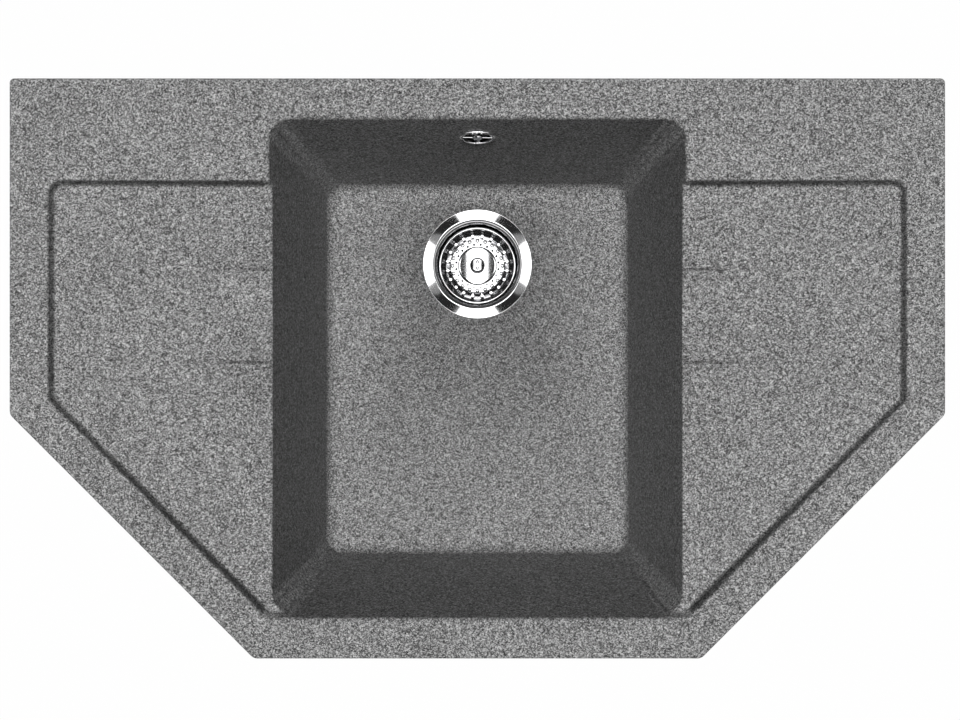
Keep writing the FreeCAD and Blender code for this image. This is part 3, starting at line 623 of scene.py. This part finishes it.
def turned(name, section, axis=ORIGIN, steps=None):
    """Draws a closed (r, z) section in millimetres beside the upright axis, and spins it."""
    steps = steps or sizes().turned_steps
    deselect()
    bpy.ops.mesh.primitive_plane_add(size=MM, location=(0, 0, 0))
    piece = named(name)
    edit_all()
    bpy.ops.mesh.merge(type="CENTER")
    place = [Vector((axis.x + p[0] * MM, axis.y, axis.z + p[1] * MM)) for p in section]
    bpy.ops.transform.translate(value=place[0])
    for before, after in zip(place, place[1:] + place[:1]):
        bpy.ops.mesh.extrude_vertices_move(TRANSFORM_OT_translate={"value": after - before})
    weld()
    bpy.ops.mesh.select_all(action="SELECT")
    bpy.ops.mesh.spin(
        steps=steps, angle=2 * math.pi, center=axis, axis=(0, 0, 1), use_auto_merge=True)
    weld()
    close(outward=True)
    return piece


def toothed(crest, root, low, high, pitch):
    """The (r, z) points up one side of a thread, drawn as rings."""
    points = []
    count = int((high - low) / pitch)
    for i in range(count):
        z = low + i * pitch
        points += [(root, z), (root, z + 0.15 * pitch)]
        points += [(crest, z + 0.45 * pitch), (crest, z + 0.7 * pitch)]
    return points + [(root, low + count * pitch)]


def pebble(name, place, half_sizes, rings=8):
    """Small rounded bump: a ball of unequal half sizes in millimetres."""
    deselect()
    bpy.ops.mesh.primitive_uv_sphere_add(
        segments=2 * rings, ring_count=rings, radius=MM, location=place)
    bump = named(name)
    bump.scale = half_sizes
    settle(bump)
    smooth(bump, 60)
    return bump


def bar(name, stations, width, height):
    """Square-edged bar of one width and height through stations given in millimetres."""
    deselect()
    bpy.ops.mesh.primitive_plane_add(
        size=1, location=Vector(stations[0]) * MM, rotation=(0, math.pi / 2, 0))
    piece = named(name)
    piece.scale = (height * MM, width * MM, 1)
    settle(piece)
    edit_all()
    for before, after in zip(stations, stations[1:]):
        step = (Vector(after) - Vector(before)) * MM
        bpy.ops.mesh.extrude_region_move(TRANSFORM_OT_translate={"value": step})
    close(outward=True)
    return piece


def finish_piece(piece, body, slot, nodes=()):
    """Settles and dresses a new piece, attaches it to its body, and hides the CAD nodes it stands
    for.
    """
    settle(piece)
    dress(piece, all_finishes()[slot])
    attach(piece, body)
    if nodes:
        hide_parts(*nodes)


# ---- pieces -----------------------------------------------------------------

class SINK_OT_casting(bpy.types.Operator):
    """The composite casting with its drainers and bowl"""
    bl_idname = "sink.casting"
    bl_label = "Casting"

    def execute(self, context):
        piece = copy_of("sink_body", "sink_casting")
        smooth(piece, 32)
        finish_piece(piece, "sink", "granite", ["sink_body"])
        return {"FINISHED"}


class SINK_OT_cup(bpy.types.Operator):
    """The turned and polished strainer cup with its flange"""
    bl_idname = "sink.cup"
    bl_label = "Strainer cup"

    def execute(self, context):
        s = sizes()
        flange, cup, sheet = s.flange_radius / MM, s.cup_radius / MM, s.sheet / MM
        bend, wall, depth, floor, fall = 4.4, 27.0, 38.0, 31.0, 1.4
        screw_hole, windows, window_radius, window_ring = 4.2, 8, 5.5, 19.5
        section = rounded([
            (flange, -sheet, 0.1),
            (flange, 0, 0.5),
            (cup, -fall, bend),
            (cup, -wall, 6),
            (floor, -depth, 6),
            (screw_hole, -depth, 0),
            (screw_hole, -depth - sheet, 0),
            (floor + 0.4, -depth - sheet, 7),
            (cup + sheet, -wall - 0.4, 7),
            (cup + sheet, -sheet, bend - sheet),
        ], 8)
        piece = turned("strainer_flange", section, DRAIN)
        deselect()
        bpy.ops.mesh.primitive_cylinder_add(
            vertices=32, radius=window_radius * MM, depth=6 * MM,
            location=DRAIN + Vector((window_ring, 0, -depth)) * MM)
        cut(piece, ring_of(named("cup_window"), windows, DRAIN))
        smooth(piece, 40)
        finish_piece(piece, "sink", "chrome", ["strainer_cup"])
        return {"FINISHED"}


class SINK_OT_basket(bpy.types.Operator):
    """The pressed basket with its holes, ribs and scalloped plateau"""
    bl_idname = "sink.basket"
    bl_label = "Basket"

    def execute(self, context):
        s = sizes()
        rim = s.basket_radius / MM
        sheet = s.sheet / MM
        rim_z, plateau_z, dome_z = -16.0, -19.0, -17.6
        trough, dome = 32.4, 19.5
        top = [
            (rim, rim_z, 0.7), (38.2, rim_z, 0.8), (trough, -28.4, 0.25), (28.3, plateau_z, 0.8),
            (20.2, plateau_z, 0.3), (dome, dome_z - 0.3, 0.3),
        ]
        top += [(r, dome_z - 0.3 * (r / dome) ** 2, 0) for r in (18, 16, 14, 12, 10, 8, 6, 3)]
        under = [
            (3.0, dome_z - sheet, 0), (dome - 0.3, dome_z - 0.5 - sheet, 0.3),
            (dome + 0.3, plateau_z - sheet, 0.3), (27.4, plateau_z - sheet, 0.4),
            (trough, -30.2, 1.4), (38.8, rim_z - sheet, 0.2), (rim, rim_z - sheet, 0.2),
        ]
        piece = turned("strainer_basket", rounded(top + under), DRAIN, 160)
        cut(piece, joined([
            self.holes("plateau_hole", 22.4, plateau_z, 1.3, 0.0),
            self.holes("wall_hole", 36.2, -20.8, 1.5, 1.22),
        ]))
        smooth(piece, 40)
        ribs = joined([self.rib_end(), self.stem()])
        smooth(ribs, 15)
        half_step(ribs)
        petal = pebble("petal", DRAIN + Vector((26.2, 0, -19.25)) * MM, (2.4, 2.9, 0.45))
        rings = [ring_of(shape, s.hole_count, DRAIN) for shape in (ribs, petal)]
        piece = joined([piece] + rings)
        finish_piece(piece, "basket", "basket_steel", ["basket"])
        return {"FINISHED"}

    def rib_end(self):
        """Round end of a rib, with a flat top in the trough."""
        outline = [(0, -27.5), (1.4, -27.5), (1.75, -20.5), (1.5, -20.2), (0, -20.2)]
        return turned("rib_end", outline, DRAIN + Vector((31.6, 0, 0)) * MM, 12)

    def stem(self):
        """Flat-topped bar from the plateau's edge to the round end of a rib."""
        stem = bar("rib_stem", [(27.5, 0, -21.2), (30.5, 0, -21.4)], 1.1, 3.0)
        round_edges(stem, 0.2)
        stem.matrix_world = Matrix.Translation(DRAIN)
        settle(stem)
        return stem

    def holes(self, name, at, z, radius, lean):
        """A ring of drills for the basket's holes."""
        deselect()
        bpy.ops.mesh.primitive_cylinder_add(
            vertices=16, radius=radius * MM, depth=5 * MM,
            location=DRAIN + Vector((at, 0, z)) * MM, rotation=(0, lean, 0))
        drill = named(name)
        half_step(drill)
        return ring_of(drill, sizes().hole_count, DRAIN)


class SINK_OT_knob(bpy.types.Operator):
    """The domed grip of the basket"""
    bl_idname = "sink.knob"
    bl_label = "Knob"

    def execute(self, context):
        r = sizes().knob_radius / MM
        low = (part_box("basket_knob")[0].z - FLANGE_Z) / MM
        top, drop, neck = -9.25, 0.14, 5.4
        edge = r - 0.8
        crown = [(edge - x, top - drop * ((edge - x) / edge) ** 2) for x in range(1, 7)]
        outline = rounded([
            (0, -14, 0), (0, low, 0), (neck, low, 0), (neck, -13.2, 1.2),
            (r, -11.8, 0.8), (r, -10.0, 0.6), (edge, top - drop, 0),
        ])
        piece = turned("basket_grip", outline[1:] + crown + [(0, top)], DRAIN, 64)
        smooth(piece, 25)
        ridge = pebble("grip_ridge", DRAIN + Vector((0, 0, -9.27)) * MM, (1.9, 5.4, 0.25), 16)
        piece = joined([piece, ridge])
        finish_piece(piece, "basket", "chrome", ["basket_knob"])
        return {"FINISHED"}


class SINK_OT_rosette(bpy.types.Operator):
    """The overflow's chromed ring with its bar, bent strap and stops"""
    bl_idname = "sink.rosette"
    bl_label = "Overflow rosette"

    def execute(self, context):
        r = sizes().rosette_radius / MM
        reach, collar, collar_z = r - 2.2, 13.2, -4.0
        ring = turned("rosette_ring", rounded([
            (r, 0, 0.2), (r, 1.2, 0.6), (r - 1.4, 2.3, 1.2), (r - 3.0, 1.6, 0.6),
            (r - 3.0, collar_z, 0), (collar, collar_z, 0), (collar, 0, 0),
        ], 5), steps=96)
        spoke = bar("rosette_bar", [(-reach, 0.6, 0.5), (0, 0, 0.5), (reach, -0.6, 0.5)], 1.7, 1.9)
        strap = bar("rosette_strap", [
            (-reach, -1.2, 0.6), (-8, -1.5, 1.2), (-3.5, -1.0, 1.5), (0, 0, 1.5),
            (3.5, 0.8, 1.5), (8, 1.1, 1.2), (reach, 1.0, 0.6),
        ], 2.4, 1.6)
        strap.rotation_euler.z = -math.pi / 2
        settle(strap)
        round_edges(spoke, 0.4, 3, 50)
        round_edges(strap, 0.45, 3, 50)
        hub = turned("rosette_hub", rounded([
            (2.6, -0.6, 0), (4.6, -0.6, 0), (4.6, 1.6, 0.5), (2.6, 1.8, 0),
        ]), steps=48)
        stops = [
            pebble("stop", Vector((x, y, 1.6)) * MM, (1.1, 1.3, 1.2))
            for x, y in ((-4.1, 12.8), (-0.4, 14.0), (3.7, 12.9), (-2.5, -12.6))
        ]
        piece = joined([ring, spoke, strap, hub] + stops)
        smooth(piece, 40)
        on_wall(piece)
        finish_piece(piece, "sink", "chrome", ["overflow_rosette"])
        shank, tip_z = 2.5, -10
        head = turned("rosette_screw", rounded([
            (0, 2.9, 0), (2.4, 2.7, 0.8), (3.9, 1.9, 0.2), (shank, 0.4, 0), (shank, tip_z, 0),
            (0, tip_z, 0),
        ]), steps=48)
        slot = bar("screw_slot", [(-5, 0, 3.0), (5, 0, 3.0)], 1.0, 1.4)
        cut(head, slot)
        smooth(head, 35)
        on_wall(head)
        finish_piece(head, "sink", "steel", ["overflow_screw"])
        return {"FINISHED"}


class SINK_OT_waste(bpy.types.Operator):
    """The moulded waste body with its threaded outlet"""
    bl_idname = "sink.waste"
    bl_label = "Waste body"

    def execute(self, context):
        low = (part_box("waste_body")[0].z - FLANGE_Z) / MM
        crest, root, length, pitch = 23.9, 23.1, 24.0, 2.1
        body = eased("waste_body", "waste_funnel", 0.5)
        top = FLANGE_Z + (low + length + 4) * MM
        inner, outer = (crest - 0.7) * MM, (crest + 0.3) * MM
        open_at(body, lambda place: place.z < top and inner < (place - DRAIN).xy.length < outer)
        bpy.ops.transform.resize(value=(root / crest, root / crest, 1), center_override=DRAIN)
        close()
        start = low + 0.8
        section = toothed(crest, root, start, low + length, pitch)
        section += [(root - 1, section[-1][1]), (root - 1, start)]
        thread = turned("outlet_thread", section, DRAIN, 64)
        smooth(thread, 20)
        finish_piece(joined([body, thread]), "sink", "plastic", ["waste_body"])
        return {"FINISHED"}


class SINK_OT_hose(bpy.types.Operator):
    """The ribbed overflow hose, held by a union nut at each end"""
    bl_idname = "sink.hose"
    bl_label = "Overflow hose"

    def execute(self, context):
        crest, valley, bore, pitch = 10.0, 8.9, 8.0, 4.0
        low, high = (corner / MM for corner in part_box("overflow_hose"))
        x, y, z = 0.0, high.y - crest, low.z + crest
        bend = 34.0
        drop = high.z - z - bend
        run = y - bend - low.y
        length = drop + bend * math.pi / 2 + run
        ribs = int(length / pitch)
        pitch = length / ribs
        outline = []
        for i in range(ribs):
            outline += [(valley, i * pitch), (valley, (i + 0.3) * pitch)]
            outline += [(crest, (i + 0.5) * pitch), (crest, (i + 0.8) * pitch)]
        outline += [(valley, length)] + [(bore, i * pitch) for i in range(ribs, -1, -1)]
        hose = turned("ribbed_hose", outline, steps=40)
        smooth(hose, 50)
        route = self.route([
            ((x, y, high.z), (0, 0, -1), drop / 3, drop / 3),
            ((x, y, z + bend), (0, 0, -1), drop / 3, ROUND_HANDLE * bend),
            ((x, y - bend, z), (0, -1, 0), ROUND_HANDLE * bend, run / 3),
            ((x, low.y, z), (0, -1, 0), run / 3, run / 3),
        ])
        apply_modifier(hose, "CURVE", object=route, deform_axis="POS_Z")
        bpy.data.objects.remove(route, do_unlink=True)
        finish_piece(hose, "sink", "hose", ["overflow_hose"])
        for end in ("upper", "lower"):
            nut = eased("hose_nut_" + end, "union_nut_" + end, 1.2, 3)
            finish_piece(nut, "sink", "plastic", ["hose_nut_" + end])
        return {"FINISHED"}

    def route(self, stations):
        """Curve through stations of place, direction and handle lengths, in millimetres."""
        curve = bpy.data.curves.new("hose_route", "CURVE")
        curve.dimensions = "3D"
        curve.resolution_u = 48
        spline = curve.splines.new("BEZIER")
        spline.bezier_points.add(len(stations) - 1)
        for point, (place, direction, back, ahead) in zip(spline.bezier_points, stations):
            point.co = Vector(place) * MM
            point.handle_left = (Vector(place) - Vector(direction) * back) * MM
            point.handle_right = (Vector(place) + Vector(direction) * ahead) * MM
        route = bpy.data.objects.new("hose_route", curve)
        bpy.context.scene.collection.objects.link(route)
        return route


class SINK_OT_overflow_box(bpy.types.Operator):
    """The moulded box behind the overflow, the clip on the stem and the basket's seal"""
    bl_idname = "sink.overflow_box"
    bl_label = "Overflow box, clip and seal"

    def execute(self, context):
        for node, name, width, body, slot in (
                ("overflow_elbow", "overflow_box", 0.5, "sink", "plastic"),
                ("stem_clip", "spring_clip", 0.15, "clip", "clip_plastic"),
                ("basket_seal", "closing_ring", 0.6, "basket", "rubber")):
            finish_piece(eased(node, name, width), body, slot, [node])
        return {"FINISHED"}


class SINK_OT_clamps(bpy.types.Operator):
    """The six studs with their nuts, washers and claws"""
    bl_idname = "sink.clamps"
    bl_label = "Clamps"

    def execute(self, context):
        low, high = (corner.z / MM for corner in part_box("clamp_studs"))
        crest, root, pitch = 3.0, 2.5, 1.0
        thread = toothed(crest, root, low + 0.6, high, pitch)
        outline = [(0, low), (root, low)] + thread + [(crest - 0.1, high), (0, high)]
        stud = turned("threaded_stud", outline, steps=20)
        smooth(stud, 20)
        clamps = range(1, 7)
        places = [middle("clamp_nut_%d" % i) for i in clamps]
        studs = [copy_at(stud, Matrix.Translation((place.x, place.y, 0))) for place in places]
        bpy.data.objects.remove(stud, do_unlink=True)
        finish_piece(named_as(joined(studs), "threaded_studs"), "sink", "steel", ["clamp_studs"])
        for i in clamps:
            for node, name, slot, width in (
                    ("clamp_nut", "hexagon_nut", "steel", 0.5),
                    ("clamp_washer", "square_washer", "steel", 0.3),
                    ("clamp_claw", "claw", "galvanised", 0.5)):
                node, name = "%s_%d" % (node, i), "%s_%d" % (name, i)
                finish_piece(eased(node, name, width), node, slot, [node])
        return {"FINISHED"}


class SINK_OT_finishes(bpy.types.Operator):
    """Finishes for the pieces that keep their CAD shape"""
    bl_idname = "sink.finishes"
    bl_label = "Finishes"

    def execute(self, context):
        finishes = all_finishes()
        for part in frame["record"]["subparts"]:
            dress(frame["nodes"][part["node"]], finishes[part["material_slot"]])
        return {"FINISHED"}


# ---- stage ------------------------------------------------------------------

IMAGE = (960.0, 720.0)
CENTRE_PIXEL = (477.4, 368.45)
PIXELS_PER_MM = 1.1862
VIEW_DISTANCE = 0.848
SENSOR = 36.0


def softbox(name, place, width, length, strength):
    """Area lamp that faces straight down, with its strength per square metre."""
    lamp = bpy.data.lights.new(name, "AREA")
    lamp.shape = "RECTANGLE"
    lamp.size = width
    lamp.size_y = length
    lamp.energy = strength * width * length
    box = bpy.data.objects.new(name, lamp)
    bpy.context.scene.collection.objects.link(box)
    box.location = place
    return box


def seen_white(finish, mirrored=1.0):
    """One for the camera's own rays, and the mirrored value for rays by way of metal or glass."""
    path = finish.add("ShaderNodeLightPath").outputs
    in_metal = Value(finish, path["Is Glossy Ray"]) + Value(finish, path["Is Transmission Ray"])
    return (in_metal * mirrored + Value(finish, path["Is Camera Ray"])).clamped()


def room_light():
    """White room with a dim ceiling for the chrome to mirror, and little light of its own."""
    ceiling_from, ambient = 0.74, 0.02
    finish = Finish("room", "worlds", "ShaderNodeOutputWorld")
    upward = finish.parts(finish.add("ShaderNodeTexCoord").outputs["Generated"])[2]
    strength = seen_white(finish, 1 - upward.over(ceiling_from)) * (1 - ambient) + ambient
    light = finish.add("ShaderNodeBackground", None, {"Color": (1, 1, 1), "Strength": strength})
    finish.join(finish.output.inputs["Surface"], light.outputs[0])
    return finish.material


def backdrop_finish():
    """White to the camera and in reflections, with a part of the plain floor's own shade kept."""
    finish = Finish("pale_floor")
    white_share = seen_white(finish) * 0.97
    matt = finish.add("ShaderNodeBsdfDiffuse", None, {"Color": (0.9, 0.9, 0.9)})
    white = finish.add("ShaderNodeEmission", None, {"Color": (1, 1, 1), "Strength": 1.0})
    inputs = {0: white_share, 1: matt.outputs[0], 2: white.outputs[0]}
    mix = finish.add("ShaderNodeMixShader", None, inputs)
    finish.join(finish.output.inputs["Surface"], mix.outputs[0])
    return finish.material


class SINK_OT_stage(bpy.types.Operator):
    """Floor, camera and soft lamps"""
    bl_idname = "sink.stage"
    bl_label = "Stage"

    def execute(self, context):
        scene = context.scene
        scene.view_settings.view_transform = "Standard"
        deselect()
        bpy.ops.mesh.primitive_grid_add(
            x_subdivisions=4, y_subdivisions=4, size=8, location=(0, 0, FLOOR_Z - 0.001))
        floor = context.object
        floor.name = "floor"
        settle(floor)
        dress(floor, backdrop_finish())
        scene.world = room_light()
        self.lamps()
        self.camera(scene)
        return {"FINISHED"}

    def lamps(self):
        """The main lamp, a card that lights only the rosette, and cards the strainer mirrors."""
        main = softbox("main_lamp", (0, 0, 5.0), width=0.8, length=0.5, strength=540)
        main.visible_glossy = False
        card = softbox("rosette_card", (0, -0.5, 2.0), width=3.0, length=2.6, strength=7)
        card.visible_diffuse = False
        group = bpy.data.collections.new("rosette_light")
        for name in ("rosette_ring", "rosette_screw"):
            group.objects.link(bpy.data.objects[name])
        card.light_linking.receiver_collection = group
        softbox("strip_card", (0, 0.425, 3.0), width=0.31, length=1.1, strength=8)
        for x in (-0.54, 0.54):
            softbox("side_card", (x, 0.438, 3.0), width=0.42, length=0.33, strength=8)
            softbox("side_fringe", (x, 0.438, 3.05), width=0.42, length=0.55, strength=0.8)

    def camera(self, scene):
        """Camera straight above the slab's middle, with the photo's size and centre."""
        camera = bpy.data.cameras.new("camera")
        camera.sensor_width = SENSOR
        camera.lens = PIXELS_PER_MM * VIEW_DISTANCE / MM / IMAGE[0] * SENSOR
        camera.shift_x = (IMAGE[0] / 2 - CENTRE_PIXEL[0]) / IMAGE[0]
        camera.shift_y = (CENTRE_PIXEL[1] - IMAGE[1] / 2) / IMAGE[0]
        camera.clip_start = 0.05
        eye = bpy.data.objects.new("camera", camera)
        scene.collection.objects.link(eye)
        eye.location = (0, 0, DECK_Z + VIEW_DISTANCE)
        scene.camera = eye


# ---- panel and registration -------------------------------------------------

OPERATORS = (
    SINK_OT_finishes, SINK_OT_casting, SINK_OT_cup, SINK_OT_basket, SINK_OT_knob, SINK_OT_rosette,
    SINK_OT_waste, SINK_OT_hose, SINK_OT_overflow_box, SINK_OT_clamps, SINK_OT_stage,
)


class SINK_PT_panel(bpy.types.Panel):
    """Lists the sink's sizes, colours and pieces"""
    bl_idname = "SINK_PT_panel"
    bl_label = "Sink"
    bl_space_type = "VIEW_3D"
    bl_region_type = "UI"
    bl_category = "Sink"

    def draw(self, context):
        for group in (context.scene.sink_sizes, context.scene.sink_colours):
            for name in group.bl_rna.properties.keys():
                if name not in ("rna_type", "name"):
                    self.layout.prop(group, name)
        for operator in OPERATORS:
            self.layout.operator(operator.bl_idname)


CLASSES = (SinkSizes, SinkColours, *OPERATORS, SINK_PT_panel)


def register():
    """Registers the classes and the scene's two groups of properties."""
    for item in CLASSES:
        bpy.utils.register_class(item)
    bpy.types.Scene.sink_sizes = PointerProperty(type=SinkSizes)
    bpy.types.Scene.sink_colours = PointerProperty(type=SinkColours)


def unregister():
    """Takes out what register put in."""
    del bpy.types.Scene.sink_colours
    del bpy.types.Scene.sink_sizes
    for item in reversed(CLASSES):
        bpy.utils.unregister_class(item)


def main():
    """Builds the whole scene."""
    register()
    for operator in OPERATORS:
        group, name = operator.bl_idname.split(".")
        getattr(getattr(bpy.ops, group), name)()
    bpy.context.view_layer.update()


if __name__ == "__main__":
    main()
